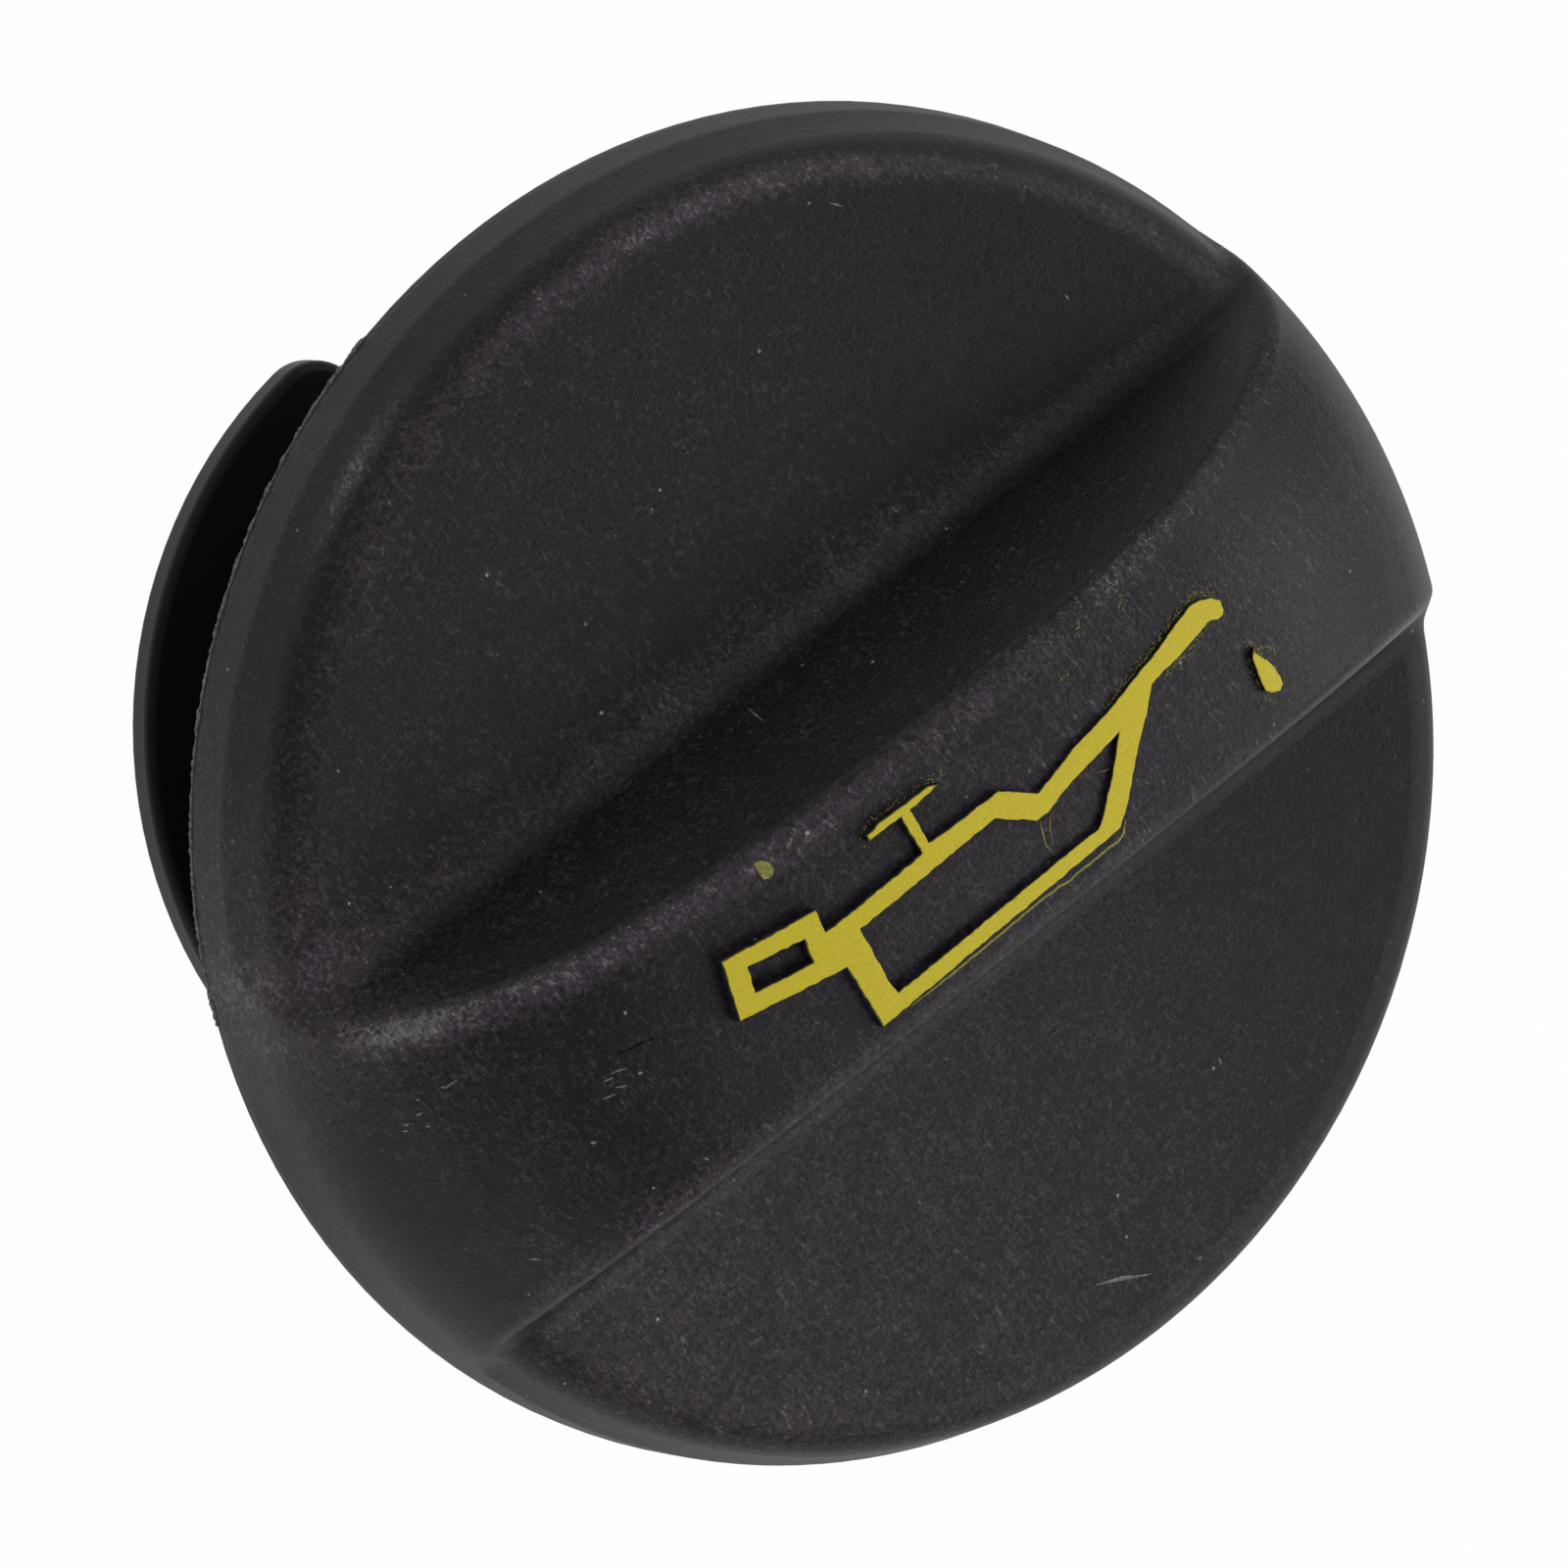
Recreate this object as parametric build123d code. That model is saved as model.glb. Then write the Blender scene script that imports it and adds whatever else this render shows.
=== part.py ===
from build123d import *

import os
from math import asin, cos, degrees, radians, sin, tan

# Oil filler cap: a round knob clipped over a hollow bayonet stem, with a rubber seal under the knob.
# Sizes are in millimetres and angles in degrees. The cap stands on the end of its stem, on the Z axis,
# and the knob's grip bar runs along X.

# Knob: the dome is one crown arc, one brow arc and one shoulder arc over a drafted wall,
# each tangent to the next
HEAD_RADIUS = 35.0
CROWN_ARC = 115.0
CROWN_REACH = 18.0
BROW_ARC = 30.3
SHOULDER_ARC = 10.0
WALL_HEIGHT = 3.6
WALL_DRAFT = 6.0
RIM_LAND = 0.7
SKIN = 2.8

# Half-moon ledges on both sides of the grip bar, rounded over towards the rim
LEDGE_HEIGHT = 7.2
LEDGE_INSET = 3.5
LEDGE_ROUND = 2.5
LEDGE_LEAN = 20.0
BAR_WIDTH = 20.6
BAR_DRAFT = 21.0
CREASE_ROUND = 2.2
EDGE_ROUND = 1.2

# Ribs and clips inside the knob
RIB_THICKNESS = 1.6
BAR_RIB_PITCH = 11.0
BAR_RIBS = 5
STANDOFF = 1.2
STANDOFF_TURNS = (50, 90, 130)
CLIP_DEPTH = 1.3
CLIP_HEIGHT = 1.1
CLIP_SPAN = 24.0
CLIP_COUNT = 4

# Stem with its closing plate, drive walls and seal seat
STEM_RADIUS = 21.0
STEM_WALL = 2.4
STEM_CHAMFER = 1.0
PLATE_THICKNESS = 2.2
DRIVE_WALL = 2.0
DRIVE_LENGTH = 44.0
DRIVE_HEIGHT = 3.4
BEAD_PROUD = 0.6
BEAD_HEIGHT = 1.2

# Bayonet lugs: each climbs from its leading end, which is the first to pass under the neck's cam
LUG_REACH = 4.0
LUG_DEPTH = 29.4
LUG_THICKNESS = 2.4
LUG_CLIMB = 4.0
LUG_LEAD_TURN = 90.5
LUG_SPAN = 100.0
LUG_CORNER = 2.8
LUG_EDGE_ROUND = 0.6
LUG_COUNT = 2
STOP_SPAN = 7.0
STOP_HEIGHT = 2.5
LEAD_LENGTH = 2.0

# Seal ring
SEAL_WIDTH = 6.0
SEAL_THICKNESS = 3.4
SEAL_ROUND = 0.6

# Clearances between the pieces
PLATE_CLEARANCE = 0.3
DRIVE_CLEARANCE = 0.25
SEAL_CLEARANCE = 0.1

# Heights above the stem's end
lug_z = LEAD_LENGTH
rim_z = lug_z + LUG_DEPTH
ledge_z = rim_z + LEDGE_HEIGHT
under_ledge_z = ledge_z - SKIN
plate_top = under_ledge_z - STANDOFF
plate_bottom = plate_top - PLATE_THICKNESS
drive_top = plate_top + DRIVE_HEIGHT
seal_bottom = plate_bottom - SEAL_THICKNESS

# Radii shared by the knob, the stem and the seal
stem_inside = STEM_RADIUS - STEM_WALL
lug_radius = STEM_RADIUS + LUG_REACH
seal_inside = STEM_RADIUS + SEAL_CLEARANCE

# Turning angles and centres of the dome's three arcs
wall_z = rim_z + RIM_LAND
wall_slope = tan(radians(WALL_DRAFT))
shoulder_edge = Vector(HEAD_RADIUS - WALL_HEIGHT * wall_slope, wall_z + WALL_HEIGHT)
shoulder_centre = shoulder_edge - Vector(SHOULDER_ARC, 0).rotate(Axis.Z, WALL_DRAFT)
crown_turn = degrees(asin(CROWN_REACH / CROWN_ARC))
brow_reach = shoulder_centre.X - (CROWN_ARC - BROW_ARC) * sin(radians(crown_turn))
brow_turn = degrees(asin(brow_reach / (BROW_ARC - SHOULDER_ARC)))
brow_centre = shoulder_centre - Vector(0, BROW_ARC - SHOULDER_ARC).rotate(Axis.Z, -brow_turn)
crown_centre = brow_centre - Vector(0, CROWN_ARC - BROW_ARC).rotate(Axis.Z, -crown_turn)
crown_top = crown_centre.Y + CROWN_ARC

# The plate's rim keeps its clearance from the knob's drafted inner wall at the plate's top face
skirt_inside = HEAD_RADIUS - SKIN / cos(radians(WALL_DRAFT))
plate_radius = skirt_inside - (plate_top - wall_z) * wall_slope - PLATE_CLEARANCE

# Anything that has to reach past the knob in a cut goes this far beyond it
OVERRUN = 5.0


def dome(inset, base_z):
    """The knob's outer skin moved inwards by inset, as a solid of revolution down to base_z."""
    crown = CenterArc(crown_centre, CROWN_ARC - inset, 90 - crown_turn, crown_turn)
    brow = CenterArc(brow_centre, BROW_ARC - inset, 90 - brow_turn, brow_turn - crown_turn)
    shoulder = CenterArc(shoulder_centre, SHOULDER_ARC - inset, WALL_DRAFT, 90 - brow_turn - WALL_DRAFT)
    wall = Line(shoulder @ 0, (HEAD_RADIUS - inset / cos(radians(WALL_DRAFT)), wall_z))
    land = Line(wall @ 1, ((wall @ 1).X, base_z))
    base = Line(land @ 1, (0, base_z))
    axis = Line(base @ 1, crown @ 1)
    profile = make_face([crown, brow, shoulder, wall, land, base, axis])
    return revolve(Plane.XZ * profile, Axis.Z)


def bar_half_width(z, inset):
    """Half the grip bar's width at height z, inside a wall of the given thickness."""
    return BAR_WIDTH / 2 - (z - ledge_z) * tan(radians(BAR_DRAFT)) - inset / cos(radians(BAR_DRAFT))


def bar_slab(inset, base_z):
    """Long wedge between the grip bar's two drafted walls, moved inwards by inset."""
    low = bar_half_width(base_z, inset)
    high = bar_half_width(crown_top, inset)
    section = make_face(
        Polyline((-low, base_z), (low, base_z), (high, crown_top), (-high, crown_top), close=True)
    )
    return extrude(Plane.YZ * section, HEAD_RADIUS + OVERRUN, both=True)


def disc(radius, low_z, high_z):
    """Upright cylinder on the Z axis between two heights."""
    return Pos(0, 0, low_z) * extrude(Circle(radius), high_z - low_z)


def finger_spaces():
    """The space over both half-moon ledges, to be cut out of the dome beside the grip bar."""
    outside = HEAD_RADIUS + OVERRUN / 2
    round_centre = Vector(HEAD_RADIUS - LEDGE_INSET, ledge_z - LEDGE_ROUND)
    round_over = CenterArc(round_centre, LEDGE_ROUND, LEDGE_LEAN, 90 - LEDGE_LEAN)
    ledge = Line((0, ledge_z), round_over @ 1)
    lean_drop = (outside - (round_over @ 0).X) / tan(radians(LEDGE_LEAN))
    lean = Line(round_over @ 0, (outside, (round_over @ 0).Y - lean_drop))
    side = Line(lean @ 1, (outside, crown_top))
    lid = Line(side @ 1, (0, crown_top))
    axis = Line(lid @ 1, ledge @ 0)
    space = revolve(Plane.XZ * make_face([ledge, round_over, lean, side, lid, axis]), Axis.Z)
    halves = space - bar_slab(0, (lean @ 1).Y - OVERRUN)

    # The creases are the low edges that lie on the grip bar's walls
    low_edges = halves.edges().filter_by(lambda e: e.bounding_box().max.Z < ledge_z + EDGE_ROUND)
    creases = low_edges.filter_by(lambda e: abs((e @ 0.5).Y) < bar_half_width((e @ 0.5).Z, -EDGE_ROUND))
    return fillet(creases, CREASE_ROUND)


def knob():
    """Grip bar on a round ledge, cored out from below so that its walls stay even."""
    solid_dome = dome(0, rim_z)
    cuts = finger_spaces()
    skin = solid_dome - cuts
    mouths = new_edges(solid_dome, cuts, combined=skin)
    skin = fillet(mouths, EDGE_ROUND)

    inner_dome = dome(SKIN, rim_z - OVERRUN)
    hollow = inner_dome & (bar_slab(SKIN, under_ledge_z) + disc(HEAD_RADIUS, rim_z - OVERRUN, under_ledge_z))

    rib_height = crown_top - drive_top - DRIVE_CLEARANCE
    for place in GridLocations(BAR_RIB_PITCH, 0, BAR_RIBS, 1):
        rib = Box(RIB_THICKNESS, BAR_WIDTH, rib_height, align=(Align.CENTER, Align.CENTER, Align.MAX))
        hollow -= Pos(0, 0, crown_top) * place * rib
    for turn in STANDOFF_TURNS + tuple(-turn for turn in STANDOFF_TURNS):
        rib = Box(HEAD_RADIUS, RIB_THICKNESS, STANDOFF, align=(Align.MIN, Align.CENTER, Align.MAX))
        hollow -= Pos(0, 0, under_ledge_z) * Rot(0, 0, turn) * rib - bar_slab(0, plate_top - OVERRUN)

    clip = make_face(
        Polyline(
            (skirt_inside + SKIN / 2, plate_bottom),
            (skirt_inside - CLIP_DEPTH, plate_bottom),
            (skirt_inside + SKIN / 2, plate_bottom - CLIP_HEIGHT),
            close=True,
        )
    )
    clip = Rot(0, 0, -CLIP_SPAN / 2) * revolve(Plane.XZ * clip, Axis.Z, CLIP_SPAN)
    for place in PolarLocations(0, CLIP_COUNT):
        hollow -= place * clip
    return skin - hollow


def lug():
    """One bayonet lug with rounded corners and a stop at its trailing end, tilted so that it climbs."""
    root = STEM_RADIUS - STEM_WALL / 2
    tip = CenterArc((0, 0), lug_radius, -LUG_SPAN / 2, LUG_SPAN)
    foot = CenterArc((0, 0), root, -LUG_SPAN / 2, LUG_SPAN)
    plan = make_face([tip, foot, Line(tip @ 0, foot @ 0), Line(tip @ 1, foot @ 1)])
    corners = plan.vertices().filter_by(lambda v: Vector(v).length > STEM_RADIUS)
    blade = extrude(fillet(corners, LUG_CORNER), LUG_THICKNESS)
    rims = blade.edges().filter_by(lambda e: Vector(e.center().X, e.center().Y).length > STEM_RADIUS)
    blade = fillet(rims.filter_by(Plane.XY), LUG_EDGE_ROUND)

    stop_turn = LUG_SPAN / 2 - STOP_SPAN
    stop_tip = CenterArc((0, 0), lug_radius - LUG_CORNER, stop_turn, STOP_SPAN)
    stop_foot = CenterArc((0, 0), root, stop_turn, STOP_SPAN)
    stop = make_face(
        [stop_tip, stop_foot, Line(stop_tip @ 0, stop_foot @ 0), Line(stop_tip @ 1, stop_foot @ 1)]
    )
    blade += Pos(0, 0, LUG_THICKNESS / 2) * extrude(stop, LUG_THICKNESS / 2 + STOP_HEIGHT)
    return Pos(0, 0, lug_z) * Rot(0, 0, LUG_LEAD_TURN + LUG_SPAN / 2) * Rot(LUG_CLIMB, 0, 0) * blade


def bayonet_stem():
    """Hollow stem closed by its plate, with the drive walls that turn with the knob and the lugs."""
    tube = disc(STEM_RADIUS, 0, plate_bottom)
    tube = chamfer(tube.edges().group_by(Axis.Z)[0], STEM_CHAMFER)
    body = tube + disc(plate_radius, plate_bottom, plate_top)

    bead_mid = seal_bottom - BEAD_HEIGHT / 2
    bead = make_face(
        Polyline(
            (stem_inside, bead_mid + BEAD_HEIGHT / 2),
            (STEM_RADIUS, bead_mid + BEAD_HEIGHT / 2),
            (STEM_RADIUS + BEAD_PROUD, bead_mid),
            (STEM_RADIUS, bead_mid - BEAD_HEIGHT / 2),
            (stem_inside, bead_mid - BEAD_HEIGHT / 2),
            close=True,
        )
    )
    body += revolve(Plane.XZ * bead, Axis.Z)
    for place in PolarLocations(0, LUG_COUNT):
        body += place * lug()

    drive_skin = SKIN + DRIVE_CLEARANCE
    drive = bar_slab(drive_skin, plate_bottom) - bar_slab(drive_skin + DRIVE_WALL, plate_bottom)
    drive_space = Box(DRIVE_LENGTH, BAR_WIDTH * 2, drive_top - plate_top + PLATE_THICKNESS / 2)
    body += drive & Pos(0, 0, (drive_top + plate_top - PLATE_THICKNESS / 2) / 2) * drive_space
    return body - disc(stem_inside, -OVERRUN, plate_bottom)


def seal_ring():
    """Flat rubber ring that the filler neck's mouth presses against."""
    ring = disc(seal_inside + SEAL_WIDTH, seal_bottom, plate_bottom)
    ring -= disc(seal_inside, seal_bottom, plate_bottom)
    return fillet(ring.edges().group_by(Axis.Z)[0], SEAL_ROUND)


os.makedirs("parts", exist_ok=True)
export_step(knob(), "parts/knob.step")
export_step(bayonet_stem(), "parts/bayonet_stem.step")
export_step(seal_ring(), "parts/seal_ring.step")
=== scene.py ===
import math

import bmesh
import bpy
from mathutils import Matrix, Vector, noise


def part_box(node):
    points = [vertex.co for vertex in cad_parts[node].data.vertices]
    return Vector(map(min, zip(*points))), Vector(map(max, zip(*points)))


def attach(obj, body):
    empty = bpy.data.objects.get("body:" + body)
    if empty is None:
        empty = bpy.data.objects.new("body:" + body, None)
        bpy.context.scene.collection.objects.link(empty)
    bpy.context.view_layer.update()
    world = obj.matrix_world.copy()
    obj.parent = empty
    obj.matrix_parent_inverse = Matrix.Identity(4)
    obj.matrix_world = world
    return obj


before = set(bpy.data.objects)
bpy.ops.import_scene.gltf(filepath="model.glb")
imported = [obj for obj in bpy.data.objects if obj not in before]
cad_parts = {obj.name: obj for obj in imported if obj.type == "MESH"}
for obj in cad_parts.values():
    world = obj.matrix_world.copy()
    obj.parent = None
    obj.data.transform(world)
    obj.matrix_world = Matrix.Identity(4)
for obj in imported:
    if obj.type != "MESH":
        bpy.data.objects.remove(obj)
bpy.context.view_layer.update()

# Knob
# The round grip is one injection moulding in black polyamide filled with short glass fibres.
# It clips over the stem's plate. Its dry skin shows grain, fibres and dust, and its edges are rubbed grey;
# painted light and shade lighten and darken parts of it.
MM = 0.001
LEDGE_HEIGHT = 7.2 * MM
BAR_HALF_WIDTH = 10.3 * MM
BAR_SLOPE = math.tan(math.radians(21))
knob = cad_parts["knob"]
rim_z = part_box("knob")[0].z
crown_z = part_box("knob")[1].z
ledge_z = rim_z + LEDGE_HEIGHT


def linear(hex_colour):
    """An sRGB hex colour as linear RGBA."""
    channels = [int(hex_colour[i:i + 2], 16) / 255 for i in (1, 3, 5)]
    return [c / 12.92 if c <= 0.04045 else ((c + 0.055) / 1.055) ** 2.4 for c in channels] + [1.0]


def add(tree, kind, links=(), **settings):
    """Add a node, set its own properties, and give its inputs values or links."""
    node = tree.nodes.new(kind)
    for name, value in settings.items():
        setattr(node, name, value)
    for socket, value in links:
        if isinstance(value, bpy.types.NodeSocket):
            tree.links.new(value, node.inputs[socket])
        else:
            node.inputs[socket].default_value = value
    return node


def mark(tree, *factors):
    """The product of plain sockets and of fades, such as where a mark lies on the skin.

    A fade is a socket, the values at which it starts and ends, and its strengths there if not 0 and 1."""
    product = None
    for factor in factors:
        if isinstance(factor, tuple):
            socket, start, end, *strengths = factor
            low, high = strengths or (0.0, 1.0)
            links = [(0, socket), (1, start), (2, end), (3, low), (4, high)]
            factor = add(tree, "ShaderNodeMapRange", links).outputs[0]
        if product is not None:
            links = [(0, product), (1, factor)]
            factor = add(tree, "ShaderNodeMath", links, operation="MULTIPLY").outputs[0]
        product = factor
    return product


# Glass-filled polyamide dries to a grey-black skin: fine grain from the tool, fibres that float up
# across the bar, pale dust in the grain, and paler plastic where hands rub the edges.
# Single glass fibres are too fine to see, so they are drawn as coarser clumps.
GRAIN, GRAIN_DEPTH = 0.30 * MM, 0.045 * MM
MOTTLE = 3.2 * MM
FIBRE_LENGTH, FIBRE_WIDTH = 0.9 * MM, 0.24 * MM
FIBRE_LIE = math.radians(-80)
FIBRE_SHOWS = (0.50, 0.74)
DUST_SPACING, DUST_RADIUS = 0.75 * MM, 0.08 * MM
GRIT_SPACING, GRIT_RADIUS = 2.6 * MM, 0.13 * MM

polyamide = bpy.data.materials.new("glass_filled_polyamide_moulded")
polyamide.use_nodes = True
tree = polyamide.node_tree
skin = tree.nodes["Principled BSDF"]
coordinates = add(tree, "ShaderNodeTexCoord")
spot, facing = coordinates.outputs["Object"], coordinates.outputs["Normal"]
place = add(tree, "ShaderNodeSeparateXYZ", [(0, spot)]).outputs
tilt = add(tree, "ShaderNodeSeparateXYZ", [(0, facing)]).outputs
off_bar_axis = add(tree, "ShaderNodeMath", [(0, place["Y"])], operation="ABSOLUTE").outputs[0]
in_plan = add(tree, "ShaderNodeVectorMath", [(0, spot), (1, (1, 1, 0))], operation="MULTIPLY").outputs[0]
from_axis = add(tree, "ShaderNodeVectorMath", [(0, in_plan)], operation="LENGTH").outputs["Value"]

grain = add(tree, "ShaderNodeTexNoise", [
    (0, spot), ("Scale", 1 / GRAIN), ("Detail", 3), ("Roughness", 0.65), ("Distortion", 0.8)]).outputs[0]
mottle = add(tree, "ShaderNodeTexNoise", [
    (0, spot), ("Scale", 1 / MOTTLE), ("Detail", 4), ("Roughness", 0.6)]).outputs[0]
lie = add(tree, "ShaderNodeMapping", [
    (0, spot), ("Rotation", (0, 0, FIBRE_LIE)), ("Scale", (FIBRE_LENGTH, FIBRE_WIDTH, FIBRE_WIDTH))],
    vector_type="TEXTURE").outputs[0]
clumps = add(tree, "ShaderNodeTexNoise", [(0, lie), ("Scale", 1), ("Detail", 2), ("Distortion", 1.6)])
fibre = mark(tree, (clumps.outputs[0], *FIBRE_SHOWS))

# Dust lies in the grain as faint dots close together, and grit as bright dots further apart
dots = []
for spacing, radius in ((DUST_SPACING, DUST_RADIUS), (GRIT_SPACING, GRIT_RADIUS)):
    cells = add(tree, "ShaderNodeTexVoronoi", [(0, spot), ("Scale", 1 / spacing)])
    dots.append(mark(tree, (cells.outputs["Distance"], radius / spacing, radius / spacing / 2)))
dust, grit = dots

# The ledges' rounded edge is rubbed pale, and it is painted paler still towards one side: a painted
# highlight where the lamps on that side catch the round
EDGE_INNER, EDGE_OUTER = (31.0 * MM, 32.0 * MM), (33.6 * MM, 32.6 * MM)
UNDER_LEDGE = (ledge_z + 0.3 * MM, ledge_z + 0.1 * MM)
BRIGHTEST_SIDE = (math.cos(math.radians(52)), math.sin(math.radians(52)), 0)
TO_BRIGHTEST_SIDE = (5 * MM, 31 * MM, 0.1, 0.8)
to_side = add(tree, "ShaderNodeVectorMath", [(0, spot), (1, BRIGHTEST_SIDE)], operation="DOT_PRODUCT")
ledge_wear_and_highlight = mark(tree, (from_axis, *EDGE_INNER), (from_axis, *EDGE_OUTER), (place["Z"], *UNDER_LEDGE),
                 (to_side.outputs["Value"], *TO_BRIGHTEST_SIDE))

# A knock on the rear left lies further down the same round
KNOCK = (-14.8 * MM, 30.7 * MM, 0)
KNOCK_ALONG = (math.cos(math.radians(26)), math.sin(math.radians(26)), 0)
KNOCK_HALF_LENGTH = (6 * MM, 0.5 * MM)
KNOCK_TOP = (ledge_z - 0.9 * MM, ledge_z - 1.5 * MM)
KNOCK_BOTTOM = (ledge_z - 2.8 * MM, ledge_z - 2.0 * MM)
REAR_ONLY = (22 * MM, 26 * MM)
from_knock = add(tree, "ShaderNodeVectorMath", [(0, spot), (1, KNOCK)], operation="SUBTRACT").outputs[0]
from_knock = add(tree, "ShaderNodeVectorMath", [(0, from_knock), (1, KNOCK_ALONG)], operation="DOT_PRODUCT")
from_knock = from_knock.outputs["Value"]
from_knock = add(tree, "ShaderNodeMath", [(0, from_knock)], operation="ABSOLUTE").outputs[0]
knock_rub = mark(tree, (from_knock, *KNOCK_HALF_LENGTH), (place["Z"], *KNOCK_TOP),
                 (place["Z"], *KNOCK_BOTTOM), (place["Y"], *REAR_ONLY))

# The grip bar is rubbed beside its two long edges, more so towards its ends; the pale band is also a painted
# highlight on the edges' round, most of all at the left end
wall_at = BAR_HALF_WIDTH + ledge_z * BAR_SLOPE
BAR_EDGE = (wall_at - 1.9 * MM, wall_at - 0.7 * MM)
NOT_STEEP = (0.45, 0.75)
ABOVE_LEDGE = (ledge_z + 1.5 * MM, ledge_z + 2.5 * MM)
TO_LEFT_END, TO_RIGHT_END = (2 * MM, -24 * MM, 0.28, 0.95), (6 * MM, 13 * MM, 0.0, 0.6)
TO_REAR_EDGE = (-5 * MM, 5 * MM, 0.5, 0.9)
to_wall = add(tree, "ShaderNodeMath", [(0, place["Z"]), (1, BAR_SLOPE), (2, off_bar_axis)],
              operation="MULTIPLY_ADD").outputs[0]
left, right = mark(tree, (place["X"], *TO_LEFT_END)), mark(tree, (place["X"], *TO_RIGHT_END))
ends = add(tree, "ShaderNodeMath", [(0, left), (1, right)], operation="MAXIMUM").outputs[0]
bar_wear_and_highlight = mark(tree, (to_wall, *BAR_EDGE), (tilt["Z"], *NOT_STEEP), (place["Z"], *ABOVE_LEDGE), ends,
               (place["Y"], *TO_REAR_EDGE))

# A faint pale band is painted in the creases at the foot of the bar, more so in the rear one: a painted
# highlight on the concave round there
FOOT_INNER, FOOT_OUTER = (10.0 * MM, 11.3 * MM), (13.6 * MM, 12.0 * MM)
FOOT_TOP = (ledge_z + 1.2 * MM, ledge_z + 0.6 * MM, 0.0, 0.35)
TO_REAR_FOOT = (-2 * MM, 2 * MM, 0.3, 1.0)
foot_highlight = mark(tree, (off_bar_axis, *FOOT_INNER), (off_bar_axis, *FOOT_OUTER), (place["Z"], *FOOT_TOP),
                (place["Y"], *TO_REAR_FOOT))

# All rubbing and painted highlights are patchy
RUB_AND_HIGHLIGHT_PATCH = 0.7 * MM
RUB_AND_HIGHLIGHT_SHOWS = (0.20, 0.80, 0.45, 0.95)
rub_and_highlight = ledge_wear_and_highlight
for more in (knock_rub, bar_wear_and_highlight, foot_highlight):
    rub_and_highlight = add(tree, "ShaderNodeMath", [(0, rub_and_highlight), (1, more)], operation="MAXIMUM").outputs[0]
patches = add(tree, "ShaderNodeTexNoise", [
    (0, spot), ("Scale", 1 / RUB_AND_HIGHLIGHT_PATCH), ("Detail", 5), ("Roughness", 0.7)]).outputs[0]
rub_and_highlight = mark(tree, rub_and_highlight, (patches, *RUB_AND_HIGHLIGHT_SHOWS))

# Fibres show more on the right half of the bar
TO_COMBED_END = (0.0, 12 * MM)
ON_BAR = (ledge_z + 2 * MM, ledge_z + 4 * MM)
combed = mark(tree, (place["X"], *TO_COMBED_END), (place["Z"], *ON_BAR), fibre)

# The front ledge, more so towards the left, and the left end of the bar are painted lighter: painted light.
# Hands rub the crown a little, and the right end of the bar and the left wall are painted darker: painted
# shade
LIT_LENGTH, LIT_FRONT = (30 * MM, -24 * MM), (-9 * MM, -13 * MM, 0.3, 1.0)
OFF_WALL = (34 * MM, 31.5 * MM, 0.25, 1.0)
LIT_LEFT, LIT_REAR = (-25 * MM, -33 * MM), (0.0, 9 * MM, 0.2, 1.0)
CROWN_TOP = (crown_z - 1.2 * MM, crown_z - 0.2 * MM)
SHADED_RIGHT, BESIDE_BAR_AXIS = (6 * MM, 22 * MM), (1 * MM, 6 * MM)
SHADED_LEFT, SHADED_FRONT = (-28 * MM, -33 * MM), (9 * MM, 3 * MM)
front_painted_light = mark(tree, (place["X"], *LIT_LENGTH), (place["Y"], *LIT_FRONT), (from_axis, *OFF_WALL))
left_end_painted_light = mark(tree, (place["X"], *LIT_LEFT), (place["Y"], *LIT_REAR))
crown_rub = mark(tree, (place["Z"], *CROWN_TOP))
right_end_painted_shade = mark(tree, (place["X"], *SHADED_RIGHT), (off_bar_axis, *BESIDE_BAR_AXIS))
left_wall_painted_shade = mark(tree, (place["X"], *SHADED_LEFT), (place["Y"], *SHADED_FRONT))

# All of these, painted light and shade among them, add up to one tone, which a ramp turns into the plastic's
# greys
tone = -0.30
for layer, gain in (
        (grain, 0.8), (mottle, 0.24), (fibre, 0.20), (dust, 0.20), (grit, 0.6), (rub_and_highlight, 0.46), (front_painted_light, 0.16),
        (left_end_painted_light, 0.22), (crown_rub, 0.05), (right_end_painted_shade, -0.12), (left_wall_painted_shade, -0.12), (combed, 0.14)):
    links = [(0, layer), (1, gain), (2, tone)]
    tone = add(tree, "ShaderNodeMath", links, operation="MULTIPLY_ADD").outputs[0]
greys = add(tree, "ShaderNodeValToRGB", [(0, tone)])
greys.color_ramp.elements[0].color = linear("#060407")
greys.color_ramp.elements[1].color = linear("#989597")
for position, colour in ((0.3, "#19131a"), (0.55, "#3f3740")):
    greys.color_ramp.elements.new(position).color = linear(colour)
tree.links.new(greys.outputs[0], skin.inputs["Base Color"])

# The skin is duller on the outer wall than on top
DULLER = (30 * MM, 35 * MM, 0.36, 0.56)
tree.links.new(mark(tree, (from_axis, *DULLER)), skin.inputs["Roughness"])
skin.inputs["Specular IOR Level"].default_value = 0.26
relief = add(tree, "ShaderNodeBump", [("Height", grain), ("Strength", 1.0), ("Distance", GRAIN_DEPTH)])
tree.links.new(relief.outputs[0], skin.inputs["Normal"])
knob.material_slots[0].material = polyamide

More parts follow.
